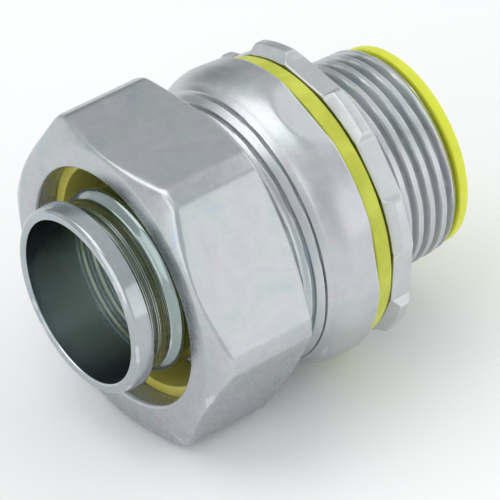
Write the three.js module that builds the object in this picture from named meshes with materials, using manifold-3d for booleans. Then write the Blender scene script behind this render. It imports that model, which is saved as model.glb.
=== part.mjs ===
// Straight liquidtight conduit connector, trade size 1 inch, lying on its side.
// Millimetres. The fitting's axis is X: the conduit enters at -X, the box hub points to +X, +Z is up.
// The origin is on the axis, half way between the ferrule's mouth and the face of the throat's lip.
import * as THREE from "three";
import { mergeVertices } from "three/addons/utils/BufferGeometryUtils.js";
import Module from "manifold-3d";

const wasm = await Module();
wasm.setup();

// ---------------------------------------------------------------- driving dimensions
const SIDES = 48; // facets in a full turn
const GAP = 0.3; // air between two pieces that touch on the real fitting

// Stations along the axis, counted from the ferrule's mouth.
const NUT_FRONT = 5.9;
const LIP_END = 9.9; // end of the nut's plain opening, which widens a little from front to back
const RING_END = 16.4; // back of the sealing ring
const BODY_MOUTH = 17.2;
const SEAT = 21.3; // shoulder in the body that the ferrule's flange sits on
const NUT_BACK = 23.2;
const NECK = 26.9; // where the compression thread ends and the barrel's rounded collar begins
const BARREL_END = 36.15; // face that the gasket seals on
const GASKET_THICK = 2.75;
const LOCKNUT_FRONT = BARREL_END + GASKET_THICK + 2 * GAP;
const LOCKNUT_THICK = 3.5;
const HUB_END = 56.8;
const LENGTH = 58.9;

// Radii.
const WIREWAY = 12.4; // bore of the throat and of the ferrule's mouth
const BODY_BORE = 13.6;
const SOCKET = 17.2; // bore that takes the jacketed conduit
const COMPRESSION_CREST = 19.55;
const COMPRESSION_ROOT = 18.75;
const COMPRESSION_PITCH = 1.5875; // 16 threads to the inch
const HUB_CREST = 16.7; // 1 inch taper pipe thread, 33.4 mm over the crests
const HUB_ROOT = 15.2;
const HUB_PITCH = 2.2087; // 11.5 threads to the inch
const PIPE_TAPER = 1 / 32; // fall of the thread's radius per millimetre
const BARREL = 23.25;
const BARREL_FLAT = 23.2; // mean distance of the six small wrench flats from the axis
const FLAT_OFFSET = 0.7; // the hexagonal bar sits this far off the turning axis
const DEEPEST_FLAT = 110; // direction of the flat that lies nearest to the axis, in degrees from +Y
const NUT_FLAT = 22.9; // half of the 45.8 mm across flats
const NUT_CORNER = 25.65; // the hexagon's corners are turned off at this radius
const NUT_OPENING = 18.4; // just behind the front edge
const LIP = 18.9; // the same opening where the sealing ring sits
const LUG = 24.0;
const LUG_RECESS = 21.9; // distance of the flats between the lugs from the axis
const LUGS = 8;

const radians = THREE.MathUtils.degToRad;

// ---------------------------------------------------------------- shape helpers

// A body turned about the X axis. outline lists [station, radius] round the closed section.
function turned(outline) {
  const points = outline.map(([station, radius]) => new THREE.Vector2(radius, station - LENGTH / 2));
  const geometry = new THREE.LatheGeometry([...points, points[0].clone()], SIDES);
  const zAxis = new THREE.Vector3(0, 0, 1);
  const xAxis = new THREE.Vector3(1, 0, 0);
  const yAxis = new THREE.Vector3(0, 1, 0);
  return geometry.applyMatrix4(new THREE.Matrix4().makeBasis(zAxis, xAxis, yAxis));
}

// A prism along X. The shape's x becomes Y and its y becomes Z.
function prism(shape, from, to) {
  const geometry = new THREE.ExtrudeGeometry(shape, { depth: to - from, bevelEnabled: false });
  const xAxis = new THREE.Vector3(1, 0, 0);
  const yAxis = new THREE.Vector3(0, 1, 0);
  const zAxis = new THREE.Vector3(0, 0, 1);
  geometry.applyMatrix4(new THREE.Matrix4().makeBasis(yAxis, zAxis, xAxis));
  return geometry.translate(from - LENGTH / 2, 0, 0);
}

// A closed three.js geometry as a manifold-3d solid.
function solid(geometry) {
  const bare = geometry.clone();
  bare.deleteAttribute("normal");
  bare.deleteAttribute("uv");
  const merged = mergeVertices(bare, 1e-4);
  const vertProperties = new Float32Array(merged.attributes.position.array);
  const triVerts = new Uint32Array(merged.index.array);
  return new wasm.Manifold(new wasm.Mesh({ numProp: 3, vertProperties, triVerts }));
}

// A manifold-3d solid as a three.js geometry.
function geometryOf(body) {
  const mesh = body.getMesh();
  const geometry = new THREE.BufferGeometry();
  geometry.setAttribute("position", new THREE.BufferAttribute(mesh.vertProperties, 3));
  geometry.setIndex(new THREE.BufferAttribute(mesh.triVerts, 1));
  geometry.computeVertexNormals();
  return geometry;
}

// Points on an arc in the section plane, from one angle to another, in steps.
function arc(station, radius, size, fromDegrees, toDegrees, steps) {
  return Array.from({ length: steps + 1 }, (_, i) => {
    const angle = radians(fromDegrees + ((toDegrees - fromDegrees) * i) / steps);
    return [station + size * Math.cos(angle), radius + size * Math.sin(angle)];
  });
}

// Ring-shaped thread crests and roots between two stations. Crest and root radii are functions of the station.
function threadRidges(from, to, pitch, crest, root) {
  const turns = Math.floor((to - from) / pitch);
  const points = [];
  for (let i = 0; i < turns; i++) {
    const start = from + i * pitch;
    points.push([start, root(start)], [start + pitch / 2, crest(start + pitch / 2)]);
  }
  points.push([from + turns * pitch, root(from + turns * pitch)]);
  return points;
}

// ---------------------------------------------------------------- the pieces

// Connector body: socket end with the compression thread, domed barrel with small wrench flats, hub.
function bodyGeometry() {
  const taper = (radius) => (station) => radius - PIPE_TAPER * (station - LOCKNUT_FRONT);
  const compression = threadRidges(
    BODY_MOUTH + 0.6,
    NECK - 0.2,
    COMPRESSION_PITCH,
    () => COMPRESSION_CREST,
    () => COMPRESSION_ROOT,
  );
  const hub = threadRidges(BARREL_END + 0.6, HUB_END - 0.8, HUB_PITCH, taper(HUB_CREST), taper(HUB_ROOT));
  const outline = [
    [BODY_MOUTH, SOCKET + 1.3],
    ...compression,
    [NECK, COMPRESSION_ROOT],
    [NECK + 0.3, 20.2],
    [NECK + 1.0, 21.1],
    [NECK + 2.0, 21.5],
    [NECK + 2.9, 22.2],
    [NECK + 4.1, 22.8],
    [NECK + 5.3, 23.1],
    [NECK + 6.5, BARREL],
    [BARREL_END - 0.4, BARREL],
    [BARREL_END, BARREL - 0.4],
    [BARREL_END, HUB_ROOT],
    ...hub,
    [HUB_END, 14.6],
    [HUB_END, BODY_BORE],
    [SEAT, BODY_BORE],
    [SEAT, SOCKET],
    [BODY_MOUTH + 1.2, SOCKET],
  ];
  let body = solid(turned(outline));
  const width = 14;
  const depth = 4;
  for (let i = 0; i < 6; i++) {
    const turn = 60 * i;
    const distance = BARREL_FLAT - FLAT_OFFSET * Math.cos(radians(turn));
    const cutter = new THREE.BoxGeometry(BARREL_END - NECK + 1, width, depth);
    cutter.translate((NECK + BARREL_END) / 2 - LENGTH / 2, 0, distance + depth / 2);
    cutter.rotateX(radians(DEEPEST_FLAT - 90 + turn));
    body = body.subtract(solid(cutter));
  }
  return geometryOf(body);
}

// Gland nut: a chamfered hexagon with a round opening, a cone for the sealing ring and a clear thread bore.
function glandNutGeometry() {
  const hexagon = new THREE.Shape();
  const corner = NUT_FLAT / Math.cos(radians(30));
  for (let i = 0; i < 6; i++) {
    const angle = radians(60 * i);
    const point = [corner * Math.cos(angle), corner * Math.sin(angle)];
    if (i === 0) hexagon.moveTo(...point);
    else hexagon.lineTo(...point);
  }
  hexagon.closePath();
  const threadBore = COMPRESSION_CREST + GAP + 0.05;
  const faceEdge = NUT_FLAT - 0.65;
  const frontChamfer = 2.0;
  const backChamfer = 1.1;
  const blank = turned([
    [NUT_FRONT, NUT_OPENING + 0.5],
    [NUT_FRONT, faceEdge],
    [NUT_FRONT + frontChamfer, NUT_CORNER],
    [NUT_BACK - backChamfer, NUT_CORNER],
    [NUT_BACK, faceEdge],
    [NUT_BACK, threadBore + 0.5],
    [NUT_BACK - 0.5, threadBore],
    [LIP_END + threadBore - LIP, threadBore],
    [LIP_END, LIP],
    [NUT_FRONT + 0.5, NUT_OPENING],
  ]);
  return geometryOf(solid(prism(hexagon, NUT_FRONT - 1, NUT_BACK + 1)).intersect(solid(blank)));
}

// Sealing ring: a soft collar with a cone at each end, squeezed between the nut and the body's mouth.
function sealingRingGeometry() {
  const front = LIP_END + GAP;
  const outside = COMPRESSION_CREST;
  return turned([
    [front, SOCKET],
    [front, LIP - 0.1],
    [front + outside - LIP + 0.1, outside],
    [RING_END - 1.7, outside],
    [RING_END, SOCKET + 0.7],
    [RING_END, SOCKET],
  ]);
}

// Ferrule: a steel sleeve with a rolled rim, a coarse rolled thread for the conduit's coils, and a seat flange.
function ferruleGeometry() {
  const wall = 0.9;
  const valley = 12.9;
  const crest = 14.15;
  const turnLength = 4.4;
  const firstCrest = 8.1;
  const flange = SOCKET - 0.4;
  const flangeBack = SEAT - GAP;
  const waveEnd = flangeBack - 2.0;
  const waveStart = firstCrest - turnLength / 2;
  const steps = 11;
  const wave = Array.from({ length: steps + 1 }, (_, i) => {
    const station = waveStart + ((waveEnd - waveStart) * i) / steps;
    const phase = (2 * Math.PI * (station - firstCrest)) / turnLength;
    return [station, (crest + valley) / 2 + ((crest - valley) / 2) * Math.cos(phase)];
  });
  const inside = wave.map(([station, radius]) => [station, radius - wall]).reverse();
  return turned([
    ...arc(1.1, 13.5, 1.1, 270, 90, 4),
    [2.9, 14.6],
    [3.3, valley],
    ...wave,
    [flangeBack - 1, valley + 0.4],
    [flangeBack - 1, flange],
    [flangeBack, flange],
    [flangeBack, valley - wall],
    ...inside,
    [4.5, valley - wall],
  ]);
}

// Gasket between the body's face and the locknut.
function sealingGasketGeometry() {
  const front = BARREL_END + GAP;
  const back = front + GASKET_THICK;
  const bore = HUB_CREST + GAP + 0.1;
  const edge = BARREL - 0.6;
  return turned([
    [front, bore],
    [front, edge - 0.3],
    [front + 0.3, edge],
    [back - 0.5, edge - 0.1],
    [back, edge - 0.6],
    [back, bore],
  ]);
}

// Locknut: a ring with eight low lugs to drive it round with a punch, and a small flat between each two.
function locknutGeometry() {
  const firstLug = 27.5;
  const halfLug = 10.5;
  const halfRecess = 8.5;
  const recessEnd = LUG_RECESS / Math.cos(radians(halfRecess));
  const step = 360 / LUGS;
  const outline = new THREE.Shape();
  for (let i = 0; i < LUGS; i++) {
    const lug = firstLug + step * i;
    const recess = lug + step / 2;
    const start = radians(lug - halfLug);
    if (i === 0) outline.moveTo(LUG * Math.cos(start), LUG * Math.sin(start));
    outline.absarc(0, 0, LUG, start, radians(lug + halfLug), false);
    for (const angle of [radians(recess - halfRecess), radians(recess + halfRecess)])
      outline.lineTo(recessEnd * Math.cos(angle), recessEnd * Math.sin(angle));
  }
  outline.closePath();
  const disc = new THREE.ExtrudeGeometry(outline, {
    depth: LOCKNUT_THICK + 2,
    bevelEnabled: false,
    curveSegments: 4,
  });
  const yAxis = new THREE.Vector3(0, 1, 0);
  const zAxis = new THREE.Vector3(0, 0, 1);
  const xAxis = new THREE.Vector3(1, 0, 0);
  disc.applyMatrix4(new THREE.Matrix4().makeBasis(yAxis, zAxis, xAxis));
  disc.translate(LOCKNUT_FRONT - 1 - LENGTH / 2, 0, 0);
  const back = LOCKNUT_FRONT + LOCKNUT_THICK;
  const bore = HUB_CREST + GAP;
  const blank = turned([
    [LOCKNUT_FRONT, bore + 0.5],
    [LOCKNUT_FRONT, LUG - 1.2],
    [LOCKNUT_FRONT + 0.8, LUG + 0.1],
    [back - 0.4, LUG + 0.1],
    [back, LUG - 0.6],
    [back, bore + 0.5],
    [back - 0.5, bore],
    [LOCKNUT_FRONT + 0.5, bore],
  ]);
  return geometryOf(solid(disc).intersect(solid(blank)));
}

// Insulated throat: a liner pressed into the hub, with a rounded lip over the hub's end.
function insulatedThroatGeometry() {
  const barrel = BODY_BORE - GAP;
  const lip = 15.7;
  const lipBack = HUB_END + GAP;
  const start = HUB_END - 7.8;
  return turned([
    [start, WIREWAY],
    [start, barrel],
    [lipBack, barrel],
    [lipBack, lip],
    [LENGTH - 0.6, lip],
    [LENGTH, lip - 0.5],
    [LENGTH, WIREWAY + 0.9],
    [LENGTH - 0.9, WIREWAY],
  ]);
}

// ---------------------------------------------------------------- finishes and assembly

const ZINC = { color: 0xc3c9cb, roughness: 0.32, metalness: 0.95 };
const BRIGHT_ZINC = { color: 0xb4bcbf, roughness: 0.22, metalness: 0.98 };
const YELLOW_GASKET = { color: 0xd5dc3c, roughness: 0.45, metalness: 0 };
const YELLOW_RING = { color: 0xc2c43c, roughness: 0.5, metalness: 0 };

const fitting = new THREE.Group();

function place(name, geometry, finish) {
  const mesh = new THREE.Mesh(geometry, new THREE.MeshStandardMaterial(finish));
  mesh.name = name;
  fitting.add(mesh);
}

place("body", bodyGeometry(), ZINC);
place("gland_nut", glandNutGeometry(), ZINC);
place("sealing_ring", sealingRingGeometry(), YELLOW_RING);
place("ferrule", ferruleGeometry(), BRIGHT_ZINC);
place("sealing_gasket", sealingGasketGeometry(), YELLOW_GASKET);
place("locknut", locknutGeometry(), ZINC);
place("insulated_throat", insulatedThroatGeometry(), YELLOW_GASKET);

export default fitting;
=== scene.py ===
"""Looks of a straight liquidtight conduit connector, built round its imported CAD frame.

The fitting's axis is X: the conduit enters at -X and the threaded box hub points to +X.
Every steel and plastic piece is rebuilt here as a fine mesh with rounded edges and real thread helices,
and each one rides on the body of the CAD node that it replaces. Lengths are in millimetres until a
vertex is made.
"""
import math

import bmesh
import bpy
from mathutils import Matrix, Vector


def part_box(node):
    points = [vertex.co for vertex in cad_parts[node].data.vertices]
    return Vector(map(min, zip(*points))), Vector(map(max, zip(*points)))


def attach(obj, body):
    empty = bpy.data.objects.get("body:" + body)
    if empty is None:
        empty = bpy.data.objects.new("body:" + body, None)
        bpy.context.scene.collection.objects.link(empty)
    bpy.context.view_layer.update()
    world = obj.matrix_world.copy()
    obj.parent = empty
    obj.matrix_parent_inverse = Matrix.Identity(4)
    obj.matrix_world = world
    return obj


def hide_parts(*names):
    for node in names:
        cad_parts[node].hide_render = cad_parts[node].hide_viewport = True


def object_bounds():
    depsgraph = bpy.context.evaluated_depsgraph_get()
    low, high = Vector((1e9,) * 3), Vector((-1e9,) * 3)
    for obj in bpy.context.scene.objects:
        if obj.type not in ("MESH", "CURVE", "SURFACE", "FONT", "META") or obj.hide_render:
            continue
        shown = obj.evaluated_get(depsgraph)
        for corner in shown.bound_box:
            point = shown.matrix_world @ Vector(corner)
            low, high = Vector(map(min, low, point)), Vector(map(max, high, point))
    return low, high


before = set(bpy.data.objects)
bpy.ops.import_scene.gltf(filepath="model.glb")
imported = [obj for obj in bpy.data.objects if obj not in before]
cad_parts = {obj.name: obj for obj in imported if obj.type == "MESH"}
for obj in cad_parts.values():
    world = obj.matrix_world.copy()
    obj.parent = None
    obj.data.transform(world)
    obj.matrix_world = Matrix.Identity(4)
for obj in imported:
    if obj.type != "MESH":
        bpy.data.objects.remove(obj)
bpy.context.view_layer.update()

MM = 0.001


# ---------------------------------------------------------------- places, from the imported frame

def span(node):
    """The first and last station of a CAD node along X, in millimetres."""
    low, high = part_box(node)
    return low[0] / MM, high[0] / MM


def reach(node):
    """How far a CAD node reaches from the axis along Y and along Z, in millimetres."""
    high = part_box(node)[1]
    return high[1] / MM, high[2] / MM


MOUTH, FERRULE_BACK = span("ferrule")
NUT_FRONT, NUT_BACK = span("gland_nut")
RING_FRONT, RING_BACK = span("sealing_ring")
BODY_MOUTH, HUB_END = span("body")
GASKET_FRONT, GASKET_BACK = span("sealing_gasket")
LOCKNUT_FRONT, LOCKNUT_BACK = span("locknut")
THROAT_START, LIP_FACE = span("insulated_throat")
NUT_CORNER, NUT_FLAT = reach("gland_nut")
RING_OUTSIDE = reach("sealing_ring")[0]
LIP_RADIUS = reach("insulated_throat")[0]

AIR = 0.3  # the CAD model's gap between pieces that touch
BARREL_END = GASKET_FRONT - AIR
CONE_START = BARREL_END - 10.4  # where the compression thread begins to run out up a cone
NECK = BARREL_END - 7.85  # end of the compression thread
COLLAR_END = BARREL_END - 7.25  # the dome rises from here

# Radii inside the CAD nodes.
BARREL = 23.25
BARREL_FLAT = 23.1  # mean distance of the six small wrench flats from the axis
COLLAR = 21.5
GASKET_EDGE = 22.3
WIREWAY = 12.4
BODY_BORE = 13.6
SOCKET = 17.2
NUT_OPENING = 18.4  # just behind the nut's front edge
NUT_LIP = 18.9  # the same opening where the sealing ring sits
COMPRESSION_CREST = 19.5
COMPRESSION_DEPTH = 0.5
COMPRESSION_PITCH = 1.5875
COMPRESSION_START = -70  # the thread's turn about the axis, in degrees
HUB_CREST = 16.7
HUB_DEPTH = 1.35
HUB_PITCH = 2.2087
PIPE_TAPER = 1 / 32
LOCKNUT_BORE = HUB_CREST + 0.35
NUT_BORE = 19.9
RIM = 14.5  # outside of the ferrule's band
GROOVE = 12.95  # bottom of the ferrule's turned groove

# How far a round piece sits off the axis, as sway() uses it.
BARREL_OFF_AXIS = 0.15
FERRULE_OFF_AXIS = -0.25
GASKET_OFF_AXIS = 0.15
LOCKNUT_OFF_AXIS = 0.1

# The locknut's lugs. Angles are in degrees.
LUG_COUNT = 8
LUG_STEP = 360 / LUG_COUNT
FIRST_LUG = 28.5
LUG_HALF = 9.9
LUG = 23.5
RECESS = 22.0  # distance of the flats between the lugs from the axis

# Colours in the zinc film and in the marks on it, with the painted shade of the bore and the groove and the
# painted edge highlight of rubbed zinc.
FILM_COLOURS = [
    (0.30, (0.46, 0.54, 0.61)),
    (0.42, (0.55, 0.60, 0.59)),
    (0.50, (0.60, 0.61, 0.63)),
    (0.60, (0.59, 0.56, 0.62)),
    (0.72, (0.52, 0.59, 0.58)),
]
STAIN_GREY = (0.42, 0.45, 0.46)
# Pale zinc for rubbed edges: partly real wear, partly a painted highlight on rims and corners.
WORN_AND_HIGHLIT_ZINC = (0.80, 0.81, 0.82)
# Painted bore shade: the grey that stands in for the inside of a bore in its own shade.
PAINTED_BORE_SHADE = (0.58, 0.65, 0.66)
# Painted shade, tinged green as a painted reflection of the yellow ring, for the ferrule's groove and beads
# inside the nut's opening.
PAINTED_GROOVE_SHADE = (0.26, 0.33, 0.31)
DUST = (0.55, 0.56, 0.38)
RUBBED_YELLOW = (0.85, 0.88, 0.35)


# ---------------------------------------------------------------- mesh helpers

def soft_min(a, b, blend):
    """The smaller of a and b, with the corner between them rounded over a blend length."""
    overlap = max(blend - abs(a - b), 0) / blend
    return min(a, b) - overlap * overlap * blend / 4


def step_between(value, low, high):
    """0 below low, 1 above high, and a smooth rise between them."""
    t = min(max((value - low) / (high - low), 0), 1)
    return t * t * (3 - 2 * t)


def filleted(corners, steps=4):
    """A closed outline of (x, radius) points with its corners rounded. corners lists (x, radius, fillet)."""
    outline = []
    count = len(corners)
    for i, (x, radius, fillet) in enumerate(corners):
        here = Vector((x, radius))
        to_before = Vector(corners[i - 1][:2]) - here
        to_after = Vector(corners[(i + 1) % count][:2]) - here
        if fillet == 0:
            outline.append((x, radius))
            continue
        half = to_before.angle(to_after) / 2
        cut = min(fillet / math.tan(half), 0.48 * to_before.length, 0.48 * to_after.length)
        start = here + to_before.normalized() * cut
        end = here + to_after.normalized() * cut
        for k in range(steps + 1):
            t = k / steps
            point = start * (1 - t) ** 2 + here * 2 * t * (1 - t) + end * t ** 2
            outline.append((point.x, point.y))
    return outline


def even_angles(count):
    """Angles in degrees all the way round."""
    return [360 * i / count for i in range(count)]


def ring_piece(name, outline_at, angles, material, crease_degrees=35):
    """A closed ring round the X axis. outline_at(angle) gives its closed (x, radius) section there."""
    mesh = bmesh.new()
    columns = []
    for angle in angles:
        turn = math.radians(angle)
        column = []
        for x, radius in outline_at(angle):
            place = (x * MM, radius * math.cos(turn) * MM, radius * math.sin(turn) * MM)
            column.append(mesh.verts.new(place))
        columns.append(column)
    for here, after in zip(columns, columns[1:] + columns[:1]):
        for i in range(len(here)):
            mesh.faces.new((here[i - 1], here[i], after[i], after[i - 1]))
    bmesh.ops.recalc_face_normals(mesh, faces=mesh.faces)
    data = bpy.data.meshes.new(name)
    mesh.to_mesh(data)
    mesh.free()
    data.materials.append(material)
    data.shade_smooth()
    data.set_sharp_from_angle(angle=math.radians(crease_degrees))
    piece = bpy.data.objects.new(name, data)
    bpy.context.scene.collection.objects.link(piece)
    return piece


def stands_for(piece, node, body):
    """The piece takes the place and the motion of a CAD node."""
    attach(piece, body)
    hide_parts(node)


def thread_height(x, angle, pitch, crest_start):
    """Height of a rounded V thread, 0 at the root and 1 at the crest, on a right-hand helix along X.

    crest_start is how far up the sharp V the rounded crest begins, so a smaller value gives a wider crest.
    """
    turn = (x / pitch - angle / 360) % 1
    ridge = 1 - abs(2 * turn - 1)
    return step_between(ridge, 0.05, crest_start)


# ---------------------------------------------------------------- node helpers

def add(tree, kind, settings=None, **inputs):
    """A new node. inputs are set by name, with _ for a space, or linked where a socket is given."""
    new = tree.nodes.new(kind)
    for key, value in (settings or {}).items():
        setattr(new, key, value)
    for key, value in inputs.items():
        socket = new.inputs[key.replace("_", " ")]
        if isinstance(value, bpy.types.NodeSocket):
            tree.links.new(value, socket)
        else:
            socket.default_value = value
    return new


def calc(tree, operation, first, second=0.0, clamp=False):
    """The result of a Math node on two numbers or sockets."""
    new = tree.nodes.new("ShaderNodeMath")
    new.operation = operation
    new.use_clamp = clamp
    for socket, value in zip(new.inputs, (first, second)):
        if isinstance(value, bpy.types.NodeSocket):
            tree.links.new(value, socket)
        else:
            socket.default_value = value
    return new.outputs[0]


def ramp(tree, value, stops):
    """A colour ramp's result. stops lists (position, colour or grey)."""
    new = add(tree, "ShaderNodeValToRGB", Fac=value)
    elements = new.color_ramp.elements
    while len(elements) < len(stops):
        elements.new(1.0)
    for element, (position, colour) in zip(elements, stops):
        element.position = position
        if isinstance(colour, (int, float)):
            colour = (colour, colour, colour)
        element.color = (*colour, 1)
    return new.outputs["Color"]


def noise(tree, vector, scale, detail=2.0, roughness=0.5, distortion=0.0):
    """A noise texture's grey value."""
    new = add(
        tree, "ShaderNodeTexNoise",
        Vector=vector, Scale=scale, Detail=detail, Roughness=roughness, Distortion=distortion,
    )
    return new.outputs["Fac"]


def blend(tree, amount, first, second, mode="MIX"):
    """Two colours mixed by an amount."""
    new = tree.nodes.new("ShaderNodeMix")
    new.data_type = "RGBA"
    new.blend_type = mode
    for socket, value in zip((new.inputs[0], new.inputs[6], new.inputs[7]), (amount, first, second)):
        if isinstance(value, bpy.types.NodeSocket):
            tree.links.new(value, socket)
        elif isinstance(value, tuple):
            socket.default_value = (*value, 1)
        else:
            socket.default_value = value
    return new.outputs[2]


def new_material(name):
    """An empty node material, its tree and its shader."""
    material = bpy.data.materials.new(name)
    material.use_nodes = True
    tree = material.node_tree
    shader = tree.nodes["Principled BSDF"]
    return material, tree, shader


def millimetre_space(tree):
    """Object coordinates in millimetres: the vector, the station along X and the distance from the axis."""
    place = add(tree, "ShaderNodeTexCoord").outputs["Object"]
    scaled = add(tree, "ShaderNodeVectorMath", {"operation": "SCALE"}, Vector=place, Scale=1000).outputs[0]
    split = add(tree, "ShaderNodeSeparateXYZ", Vector=scaled)
    square_y = calc(tree, "POWER", split.outputs[1], 2.0)
    square_z = calc(tree, "POWER", split.outputs[2], 2.0)
    radius = calc(tree, "SQRT", calc(tree, "ADD", square_y, square_z))
    return scaled, split.outputs[0], radius


def turning_lines(tree, station, radius, per_mm):
    """Fine rings left by a lathe tool, from 0 to 1."""
    along = calc(tree, "MULTIPLY", station, per_mm)
    outward = calc(tree, "MULTIPLY", radius, per_mm)
    vector = add(tree, "ShaderNodeCombineXYZ", X=along, Y=outward).outputs[0]
    return noise(tree, vector, 1.0, detail=3.0, roughness=0.6)


# ---------------------------------------------------------------- materials

def zinc_plate(name, tone, roughness, lines, pits, tint, bore=0.0, painted_shade_span=None):
    """Bright zinc on steel: passivation colours, turned lines, small dents, scratches, and rubbed edges
    lightened as wear and as a painted edge highlight.

    tone is the base colour, lines and pits scale the relief of the turning marks and of the casting
    pits, and tint is how strongly the blue, lilac and green film colours show. Surfaces nearer to the
    axis than the bore radius are rougher and are mixed towards a painted bore grey, which stands in
    for the shade inside the bore. Between the two given stations, outer surfaces take painted shade:
    a dark green that stands in for the shade in the nut's opening and the yellow ring's reflection.
    """
    material, tree, shader = new_material(name)
    place, station, radius = millimetre_space(tree)

    film = noise(tree, place, 0.11, detail=3.0, roughness=0.55, distortion=0.8)
    colour = blend(tree, tint, tone, ramp(tree, film, FILM_COLOURS))

    cloud = noise(tree, place, 0.55, detail=4.0, roughness=0.62)
    colour = blend(tree, 0.35, colour, ramp(tree, cloud, [(0.3, 0.62), (0.7, 0.86)]), "MULTIPLY")

    clean = 1.0
    if bore:
        inside = calc(tree, "MULTIPLY", calc(tree, "SUBTRACT", bore, radius), 4.0, clamp=True)
        clean = calc(tree, "SUBTRACT", 1.0, inside)
    stain_mask = ramp(tree, noise(tree, place, 1.7, detail=5.0, roughness=0.7), [(0.60, 0.0), (0.74, 1.0)])
    stained = calc(tree, "MULTIPLY", calc(tree, "MULTIPLY", stain_mask, 0.30), clean)
    colour = blend(tree, stained, colour, STAIN_GREY)

    # Rubbed edges, partly real wear and partly a painted highlight: convex edges are lightened towards pale
    # zinc as if glancing light caught them.
    pointed = add(tree, "ShaderNodeNewGeometry").outputs["Pointiness"]
    rubbed = ramp(tree, pointed, [(0.515, 0.0), (0.56, 1.0)])
    colour = blend(tree, calc(tree, "MULTIPLY", rubbed, 0.5), colour, WORN_AND_HIGHLIT_ZINC)
    # Painted shade inside the bore: surfaces nearer to the axis than the bore radius are mixed towards the
    # painted bore grey.
    if bore:
        colour = blend(tree, calc(tree, "MULTIPLY", inside, 0.85), colour, PAINTED_BORE_SHADE)
    # Painted shade and painted ring reflection: outer surfaces between the two given stations are mixed
    # towards a dark green.
    if painted_shade_span:
        start, end = painted_shade_span
        after_start = calc(tree, "GREATER_THAN", station, start)
        within = calc(tree, "MULTIPLY", after_start, calc(tree, "LESS_THAN", station, end))
        within = calc(tree, "MULTIPLY", within, calc(tree, "GREATER_THAN", radius, bore + 0.2))
        colour = blend(tree, calc(tree, "MULTIPLY", within, 0.75), colour, PAINTED_GROOVE_SHADE)
    tree.links.new(colour, shader.inputs["Base Color"])

    rings = turning_lines(tree, station, radius, 5.0)
    pit_noise = noise(tree, place, 2.6, detail=3.0, roughness=0.55)
    pit = ramp(tree, pit_noise, [(0.30, 0.0), (0.40, 1.0)])
    stretched = add(
        tree, "ShaderNodeMapping",
        Vector=place, Rotation=(0.4, 0.9, 0.5), Scale=(0.07, 1.3, 1.3),
    ).outputs[0]
    scratch = ramp(tree, noise(tree, stretched, 2.2, detail=2.0), [(0.70, 0.0), (0.76, 1.0)])
    scratch = calc(tree, "MULTIPLY", scratch, ramp(tree, cloud, [(0.50, 0.0), (0.60, 1.0)]))

    mottled = calc(tree, "MULTIPLY", calc(tree, "MULTIPLY", cloud, 0.16), clean)
    gloss = calc(tree, "ADD", mottled, roughness - 0.08)
    if bore:
        gloss = calc(tree, "ADD", gloss, calc(tree, "MULTIPLY", inside, 0.14))
    gloss = calc(tree, "ADD", gloss, calc(tree, "MULTIPLY", calc(tree, "SUBTRACT", rings, 0.5), 0.20 * lines))
    gloss = calc(tree, "ADD", gloss, calc(tree, "MULTIPLY", scratch, 0.12), clamp=True)
    tree.links.new(gloss, shader.inputs["Roughness"])

    relief = calc(tree, "MULTIPLY", rings, lines)
    relief = calc(tree, "ADD", relief, calc(tree, "MULTIPLY", pit, pits))
    relief = calc(tree, "SUBTRACT", relief, calc(tree, "MULTIPLY", scratch, 0.5))
    relief = calc(tree, "ADD", relief, calc(tree, "MULTIPLY", cloud, 1.5 * pits))
    relief = calc(tree, "MULTIPLY", relief, clean)
    bump = add(tree, "ShaderNodeBump", Height=relief, Distance=0.00002, Strength=0.8)
    tree.links.new(bump.outputs[0], shader.inputs["Normal"])
    shader.inputs["Metallic"].default_value = 1.0
    return material


def yellow_plastic(name, tone, shade, roughness):
    """Moulded yellow plastic with a fine grain, faint flow marks and paler rubbed edges."""
    material, tree, shader = new_material(name)
    place, station, radius = millimetre_space(tree)
    flow = noise(tree, place, 0.25, detail=2.0, distortion=0.5)
    colour = blend(tree, ramp(tree, flow, [(0.35, 0.0), (0.65, 1.0)]), tone, shade)
    dust = ramp(tree, noise(tree, place, 3.5, detail=4.0, roughness=0.7), [(0.62, 0.0), (0.8, 1.0)])
    colour = blend(tree, calc(tree, "MULTIPLY", dust, 0.25), colour, DUST)
    pointed = add(tree, "ShaderNodeNewGeometry").outputs["Pointiness"]
    rubbed = ramp(tree, pointed, [(0.52, 0.0), (0.58, 1.0)])
    colour = blend(tree, calc(tree, "MULTIPLY", rubbed, 0.35), colour, RUBBED_YELLOW)
    tree.links.new(colour, shader.inputs["Base Color"])
    grain = noise(tree, place, 6.0, detail=3.0)
    rings = turning_lines(tree, station, radius, 3.0)
    gloss = calc(tree, "ADD", calc(tree, "MULTIPLY", grain, 0.2), roughness - 0.1, clamp=True)
    tree.links.new(gloss, shader.inputs["Roughness"])
    relief = calc(tree, "ADD", calc(tree, "MULTIPLY", grain, 0.6), calc(tree, "MULTIPLY", rings, 0.5))
    bump = add(tree, "ShaderNodeBump", Height=relief, Distance=0.00002, Strength=0.7)
    tree.links.new(bump.outputs[0], shader.inputs["Normal"])
    shader.inputs["Subsurface Weight"].default_value = 0.15
    shader.inputs["Subsurface Radius"].default_value = (0.8, 0.8, 0.2)
    shader.inputs["Subsurface Scale"].default_value = 0.001
    return material


def floor_material():
    """A plain pale studio floor with a barely seen mottle."""
    material, tree, shader = new_material("studio_floor")
    place = add(tree, "ShaderNodeTexCoord").outputs["Object"]
    mottle = noise(tree, place, 6.0, detail=3.0)
    colour = ramp(tree, mottle, [(0.3, 0.96), (0.7, 0.985)])
    tree.links.new(colour, shader.inputs["Base Color"])
    shader.inputs["Roughness"].default_value = 0.8
    return material


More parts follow.
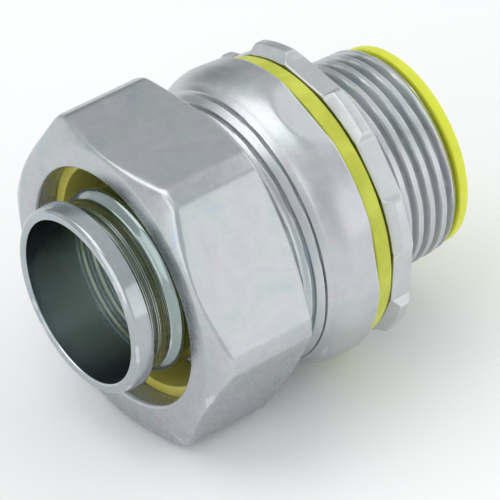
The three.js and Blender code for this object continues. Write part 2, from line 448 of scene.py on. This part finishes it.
# The body's bore gets the painted bore shade.
BODY_ZINC = zinc_plate(
    "body_zinc", (0.66, 0.69, 0.69), 0.33, lines=0.9, pits=0.6, tint=0.65, bore=BODY_BORE + 0.2,
)
NUT_ZINC = zinc_plate("nut_zinc", (0.47, 0.50, 0.515), 0.28, lines=0.25, pits=0.35, tint=0.65)
# The ferrule's groove and first beads, inside the nut's opening, get painted shade between the two stations
# given last.
FERRULE_ZINC = zinc_plate(
    "ferrule_zinc", (0.42, 0.48, 0.50), 0.14, lines=0.35, pits=0.1, tint=0.35, bore=WIREWAY + 0.3,
    painted_shade_span=(MOUTH + 3.1, MOUTH + 10.5),
)
LOCKNUT_ZINC = zinc_plate("locknut_zinc", (0.70, 0.72, 0.72), 0.36, lines=0.15, pits=1.0, tint=0.4)
GASKET_YELLOW = yellow_plastic("gasket_yellow", (0.62, 0.66, 0.075), (0.52, 0.56, 0.045), 0.42)
RING_YELLOW = yellow_plastic("ring_yellow", (0.93, 0.85, 0.20), (0.88, 0.77, 0.14), 0.45)
THROAT_YELLOW = yellow_plastic("throat_yellow", (0.76, 0.80, 0.05), (0.70, 0.75, 0.04), 0.38)


# ---------------------------------------------------------------- body

def flat_distance(angle, x):
    """Radius at which the nearest of the barrel's six small wrench flats lies.

    The hexagonal bar that the body is turned from sits a little off the turning axis, so one flat is
    left deepest, and each flat rises a little towards the dome, where it runs out.
    """
    deepest = 110
    off_centre = 0.7
    rise = 0.1
    nearest = round((angle - deepest) / 60) * 60 + deepest
    distance = BARREL_FLAT - off_centre * math.cos(math.radians(nearest - deepest))
    distance += rise * (BARREL_END - x)
    return distance / math.cos(math.radians(angle - nearest))


def sway(angle, distance):
    """Change of radius of a round piece that sits off the axis, low and towards the far side."""
    towards = 226
    return distance * math.cos(math.radians(angle - towards))


def collar(x):
    """Crest radius of the compression thread, which runs out up a cone on to the collar."""
    along = min(max((x - CONE_START) / (COLLAR_END - CONE_START), 0), 1)
    return COMPRESSION_CREST + (COLLAR - COMPRESSION_CREST) * along


def dome(x):
    """Radius of the dome that rises from the collar to the full barrel."""
    start = COLLAR_END - 0.2
    base = COLLAR - 0.4
    length = 4.8
    fullness = 0.75
    t = min(max((x - start) / length, 0), 1)
    return base + (BARREL - base) * (1 - (1 - t) ** 2) ** fullness


def barrel_outline(angle):
    """The collar, the dome and the barrel, from the thread's end to the gasket face."""
    steps = 52
    edge_radius = 0.35
    points = []
    for i in range(steps + 1):
        x = NECK + (BARREL_END - NECK) * i / steps
        rounded = -soft_min(-collar(x), -dome(x), 0.15) + sway(angle, BARREL_OFF_AXIS)
        radius = soft_min(rounded, flat_distance(angle, x), 0.1)
        edge = BARREL_END - x
        if edge < edge_radius:
            radius -= edge_radius - math.sqrt(max(edge_radius ** 2 - (edge_radius - edge) ** 2, 0))
        points.append((x, radius))
    return points


def threaded_stretch(start, end, pitch, depth, crest_start, crest_at, angle, run_in, run_out):
    """Outline points of a helical thread that fades in and out over run_in and run_out at its ends."""
    points_per_turn = 16
    chamfer_slope = 0.8
    steps = int((end - start) * points_per_turn / pitch)
    points = []
    for i in range(steps + 1):
        x = start + (end - start) * i / steps
        crest = crest_at(x)
        height = thread_height(x, angle, pitch, crest_start)
        chamfer = max(start + run_in - x, x - end + run_out, 0)
        radius = crest - depth + depth * height
        points.append((x, min(radius, crest - chamfer * chamfer_slope)))
    return points


def body_outline(angle):
    compression = threaded_stretch(
        BODY_MOUTH, NECK - 0.05, COMPRESSION_PITCH, COMPRESSION_DEPTH, 0.38,
        collar, angle + COMPRESSION_START, 0.8, 0,
    )
    hub = threaded_stretch(
        BARREL_END + 1.6, HUB_END, HUB_PITCH, HUB_DEPTH, 0.66,
        lambda x: HUB_CREST - PIPE_TAPER * (x - LOCKNUT_FRONT), angle, 0.4, 1.3,
    )
    hub_root = HUB_CREST - HUB_DEPTH - 0.1
    seat = FERRULE_BACK + AIR
    return [
        *compression,
        *barrel_outline(angle),
        (BARREL_END, HUB_CREST + 1.5),
        (BARREL_END, hub_root + 0.3),
        (BARREL_END + 0.2, hub_root),
        (BARREL_END + 1.4, hub_root),
        *hub,
        (HUB_END, BODY_BORE + 0.3),
        (HUB_END - 0.3, BODY_BORE),
        (seat + 0.3, BODY_BORE),
        (seat, BODY_BORE + 0.3),
        (seat, SOCKET - 0.2),
        (seat - 0.2, SOCKET),
        (BODY_MOUTH + 1.3, SOCKET),
        (BODY_MOUTH + 1.0, SOCKET + 0.2),
        (BODY_MOUTH, SOCKET + 1.2),
    ]


def make_body():
    piece = ring_piece("connector_body", body_outline, even_angles(192), BODY_ZINC)
    stands_for(piece, "body", "connector_body")


# ---------------------------------------------------------------- gland nut

def nut_radius(angle):
    """Outside of the hexagon with its corners turned off. The flats' normals are at 30, 90, 150 degrees."""
    from_normal = (angle % 60) - 30
    return soft_min(NUT_FLAT / math.cos(math.radians(from_normal)), NUT_CORNER, 0.35)


def nut_angles():
    """Columns close together at the turned-off corners and wider apart over the flats."""
    corner_half = 5.5
    fine = [-corner_half + 0.5 * i for i in range(int(corner_half * 4))]
    coarse = [corner_half + (60 - 2 * corner_half) * i / 22 for i in range(22)]
    return [60 * k + a for k in range(6) for a in (*fine, *coarse)]


def lip_wall():
    """The nut's opening, with the fine rings that boring left, from back to front."""
    back = RING_FRONT - AIR
    front = NUT_FRONT + 0.55
    steps = 72
    ring_pitch = 0.42
    ring_depth = 0.045
    points = []
    for i in range(steps + 1):
        t = i / steps
        radius = NUT_LIP + (NUT_OPENING - NUT_LIP) * t
        x = back + (front - back) * t
        points.append((x, radius + ring_depth * math.cos(2 * math.pi * x / ring_pitch)))
    return points


def nut_outline(angle):
    radius = nut_radius(angle)
    face = NUT_FLAT - 0.65
    front_chamfer = NUT_FRONT + (radius - face) * math.tan(math.radians(30))
    back_chamfer = NUT_BACK - (radius - face) * math.tan(math.radians(18))
    outside = filleted([
        (NUT_FRONT, NUT_OPENING + 0.6, 0),
        (NUT_FRONT, face, 1.0),
        (front_chamfer, radius, 1.5),
        (back_chamfer, radius, 0.6),
        (NUT_BACK, face, 0.5),
        (NUT_BACK, NUT_BORE + 0.4, 0.2),
        (NUT_BACK - 0.5, NUT_BORE, 0.2),
        (RING_FRONT - AIR + NUT_BORE - NUT_LIP, NUT_BORE, 0.2),
    ])
    mouth = [
        (NUT_FRONT + 0.35, NUT_OPENING + 0.06),
        (NUT_FRONT + 0.15, NUT_OPENING + 0.2),
        (NUT_FRONT + 0.04, NUT_OPENING + 0.4),
    ]
    return [*outside, *lip_wall(), *mouth]


def make_nut():
    piece = ring_piece("hex_gland_nut", nut_outline, nut_angles(), NUT_ZINC)
    stands_for(piece, "gland_nut", "gland_nut")


# ---------------------------------------------------------------- sealing ring

def make_sealing_ring():
    front = RING_FRONT - 0.22
    opening = NUT_LIP - 0.1
    corners = [
        (front, SOCKET + 0.05, 0.25),
        (front, opening, 0.15),
        (front + RING_OUTSIDE - opening, RING_OUTSIDE, 0.4),
        (RING_BACK - 1.7, RING_OUTSIDE, 0.4),
        (RING_BACK, SOCKET + 0.7, 0.3),
        (RING_BACK, SOCKET + 0.05, 0.3),
    ]
    outline = filleted(corners)
    piece = ring_piece("yellow_sealing_ring", lambda angle: outline, even_angles(144), RING_YELLOW)
    stands_for(piece, "sealing_ring", "sealing_ring")


# ---------------------------------------------------------------- ferrule

def rolled_bead(x, centre, half_width):
    """A bead rolled round the ferrule: 1 on its rounded top, falling to 0 at its foot."""
    offset = min(abs(x - centre) / half_width, 1)
    return math.cos(math.pi / 2 * offset) ** 1.3


def ferrule_outside(x):
    """Outer radius of the ferrule behind its band: a turned groove, then the conduit's coarse beads."""
    bead_height = 1.25
    mark_depth = 0.025
    mark_pitch = 0.34
    marks_end = MOUTH + 6.8
    tool_marks = mark_depth * math.cos(2 * math.pi * x / mark_pitch) if x < marks_end else 0
    beads = sum(rolled_bead(x, MOUTH + centre, 1.45) for centre in (8.3, 12.7, 17.1))
    return GROOVE + bead_height * beads + tool_marks


def ferrule_inside(x):
    """Inner radius: smooth at the mouth, with shallow rolled rings further in."""
    ring_depth = 0.15
    ring_pitch = 1.55
    share = step_between(x, MOUTH + 7.8, MOUTH + 9.0)
    return WIREWAY - ring_depth * share * (0.5 + 0.5 * math.cos(2 * math.pi * (x - MOUTH) / ring_pitch))


def make_ferrule():
    flange = SOCKET - 0.4
    flange_front = FERRULE_BACK - 1.0
    rim = filleted([
        (MOUTH, WIREWAY + 0.2, 0.45),
        (MOUTH, 13.75, 0.5),
        (MOUTH + 0.5, 14.25, 0.5),
        (MOUTH + 2.9, RIM, 0.15),
        (MOUTH + 3.15, GROOVE, 0.2),
        (MOUTH + 6.0, GROOVE, 0),
        (MOUTH + 6.0, WIREWAY, 0),
    ], steps=6)[:-2]
    steps = 150
    groove_start = MOUTH + 3.4
    outside = []
    for i in range(steps + 1):
        x = groove_start + (flange_front - 0.3 - groove_start) * i / steps
        outside.append((x, ferrule_outside(x)))
    inside_steps = 60
    inside_start = FERRULE_BACK - 0.9
    inside = []
    for i in range(inside_steps + 1):
        x = inside_start + (MOUTH + 7.6 - inside_start) * i / inside_steps
        inside.append((x, ferrule_inside(x)))
    outline = [
        *rim,
        *outside,
        (flange_front - 0.05, 13.25),
        (flange_front, 13.5),
        (flange_front, flange - 0.25),
        (flange_front + 0.25, flange),
        (FERRULE_BACK - 0.2, flange),
        (FERRULE_BACK, flange - 0.2),
        (FERRULE_BACK, WIREWAY + 0.8),
        *inside,
        (MOUTH + 3.0, WIREWAY + 0.15),
    ]

    def leaning(angle):
        return [(x, radius + sway(angle, FERRULE_OFF_AXIS)) for x, radius in outline]

    piece = ring_piece("rolled_ferrule", leaning, even_angles(160), FERRULE_ZINC)
    stands_for(piece, "ferrule", "ferrule")


# ---------------------------------------------------------------- gasket, locknut and throat

def gasket_outline(angle):
    edge = GASKET_EDGE + sway(angle, GASKET_OFF_AXIS)
    return filleted([
        (GASKET_FRONT, HUB_CREST + 0.45, 0.2),
        (GASKET_FRONT, edge, 0.4),
        (GASKET_BACK, edge - 0.1, 0.6),
        (GASKET_BACK, HUB_CREST + 0.45, 0.2),
    ], steps=6)


def make_gasket():
    piece = ring_piece("yellow_gasket", gasket_outline, even_angles(160), GASKET_YELLOW)
    stands_for(piece, "sealing_gasket", "sealing_gasket")


def lug_share(angle):
    """1 on a lug of the locknut, 0 in a recess, with short flanks between."""
    from_lug = abs((angle - FIRST_LUG + LUG_STEP / 2) % LUG_STEP - LUG_STEP / 2)
    return 1 - step_between(from_lug, LUG_HALF - 0.9, LUG_HALF + 1.7)


def locknut_outline(angle):
    lug = lug_share(angle)
    recess_angle = (angle - FIRST_LUG) % LUG_STEP - LUG_STEP / 2
    recess = RECESS / math.cos(math.radians(recess_angle))
    radius = recess + (LUG - recess) * lug + sway(angle, LOCKNUT_OFF_AXIS)
    bevel = 0.25 + 1.25 * lug
    back_bevel = 0.2 + 0.9 * lug
    return filleted([
        (LOCKNUT_FRONT, LOCKNUT_BORE + 0.5, 0.1),
        (LOCKNUT_FRONT, radius - bevel, 0.2),
        (LOCKNUT_FRONT + bevel * 0.75, radius, 0.3),
        (LOCKNUT_BACK - back_bevel * 0.8, radius - 0.1, 0.5),
        (LOCKNUT_BACK, radius - back_bevel, 0.3),
        (LOCKNUT_BACK, LOCKNUT_BORE + 0.5, 0.1),
        (LOCKNUT_BACK - 0.5, LOCKNUT_BORE, 0.1),
        (LOCKNUT_FRONT + 0.5, LOCKNUT_BORE, 0.1),
    ])


def locknut_angles():
    """Columns close together on the lugs' flanks."""
    offsets = [0, 4, 8, 9.2, 9.6, 10, 10.4, 10.8, 11.2, 11.6, 12, 12.5, 13.4, 14.5, 17, 20]
    sector = [-a for a in reversed(offsets[1:])] + offsets + [LUG_STEP / 2]
    return [FIRST_LUG + LUG_STEP * k + a for k in range(LUG_COUNT) for a in sector]


def make_locknut():
    piece = ring_piece("lugged_locknut", locknut_outline, locknut_angles(), LOCKNUT_ZINC)
    stands_for(piece, "locknut", "locknut")


def make_throat():
    outline = filleted([
        (THROAT_START, WIREWAY, 0.2),
        (THROAT_START, BODY_BORE - AIR, 0.3),
        (HUB_END + AIR, BODY_BORE - AIR, 0.1),
        (HUB_END + AIR, LIP_RADIUS, 0.35),
        (LIP_FACE, LIP_RADIUS, 1.0),
        (LIP_FACE, WIREWAY, 1.3),
    ], steps=7)
    piece = ring_piece("yellow_throat_liner", lambda angle: outline, even_angles(144), THROAT_YELLOW)
    stands_for(piece, "insulated_throat", "connector_body")


make_body()
make_nut()
make_sealing_ring()
make_ferrule()
make_gasket()
make_locknut()
make_throat()


# ---------------------------------------------------------------- camera

def make_camera():
    """A long lens above and to the left of the ferrule's mouth."""
    azimuth, elevation, roll = (math.radians(a) for a in (-36.1, 37.9, -2.5))
    distance = 719.4
    aim = Vector((-0.8, -2.6, -3.1))
    back = Vector((
        math.sin(azimuth) * math.cos(elevation),
        -math.cos(azimuth) * math.cos(elevation),
        math.sin(elevation),
    ))
    data = bpy.data.cameras.new("camera")
    data.lens = 360
    data.sensor_width = 36
    data.clip_start = 0.05
    data.clip_end = 20
    camera = bpy.data.objects.new("camera", data)
    turn = back.to_track_quat("Z", "Y").to_matrix() @ Matrix.Rotation(roll, 3, "Z")
    camera.matrix_world = Matrix.Translation((aim + back * distance) * MM) @ turn.to_4x4()
    bpy.context.scene.collection.objects.link(camera)
    bpy.context.scene.camera = camera


# ---------------------------------------------------------------- studio

def make_floor():
    bpy.ops.mesh.primitive_plane_add(size=6, location=(0, 0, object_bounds()[0][2] - 0.0001))
    floor = bpy.context.object
    floor.name = "studio_floor"
    floor.data.materials.append(floor_material())


def softbox(name, direction, distance, width, height, power):
    """A large area light that faces the part from a direction."""
    data = bpy.data.lights.new(name, "AREA")
    data.shape = "RECTANGLE"
    data.size = width
    data.size_y = height
    data.energy = power
    light = bpy.data.objects.new(name, data)
    away = Vector(direction).normalized()
    light.location = away * distance
    light.rotation_mode = "QUATERNION"
    light.rotation_quaternion = away.to_track_quat("Z", "Y")
    bpy.context.scene.collection.objects.link(light)


def make_world():
    """Pale surroundings, a little darker at mid height, with a grey flag behind the fitting."""
    world = bpy.data.worlds.new("studio")
    world.use_nodes = True
    tree = world.node_tree
    place = add(tree, "ShaderNodeTexCoord").outputs["Generated"]
    height = add(tree, "ShaderNodeSeparateXYZ", Vector=place).outputs[2]
    sky = ramp(tree, height, [
        (0.0, (0.86, 0.87, 0.87)),
        (0.4, (0.67, 0.69, 0.70)),
        (1.0, (0.74, 0.76, 0.77)),
    ])
    flag_direction = (0.2, 0.97, 0.12)
    towards_flag = add(tree, "ShaderNodeVectorMath", {"operation": "DOT_PRODUCT"}, Vector=place)
    towards_flag.inputs[1].default_value = flag_direction
    flag = ramp(tree, towards_flag.outputs["Value"], [(0.80, 1.0), (0.97, 0.45)])
    shaded = blend(tree, 1.0, sky, flag, "MULTIPLY")
    background = tree.nodes["Background"]
    tree.links.new(shaded, background.inputs["Color"])
    background.inputs["Strength"].default_value = 1.0
    bpy.context.scene.world = world


def make_studio():
    make_floor()
    make_world()
    softbox("top_softbox", (-0.38, 0.25, 0.88), 1.2, 0.9, 1.2, 4.2)
    softbox("front_right_softbox", (0.465, -0.85, 0.25), 1.3, 1.1, 0.9, 1.6)
    softbox("hub_softbox", (0.85, 0.0, 0.5), 1.5, 1.4, 1.4, 3.2)
    softbox("mouth_softbox", (-0.9, -0.2, 0.35), 1.3, 0.9, 0.9, 2.2)


make_camera()
make_studio()
bpy.context.scene.view_settings.view_transform = "Standard"
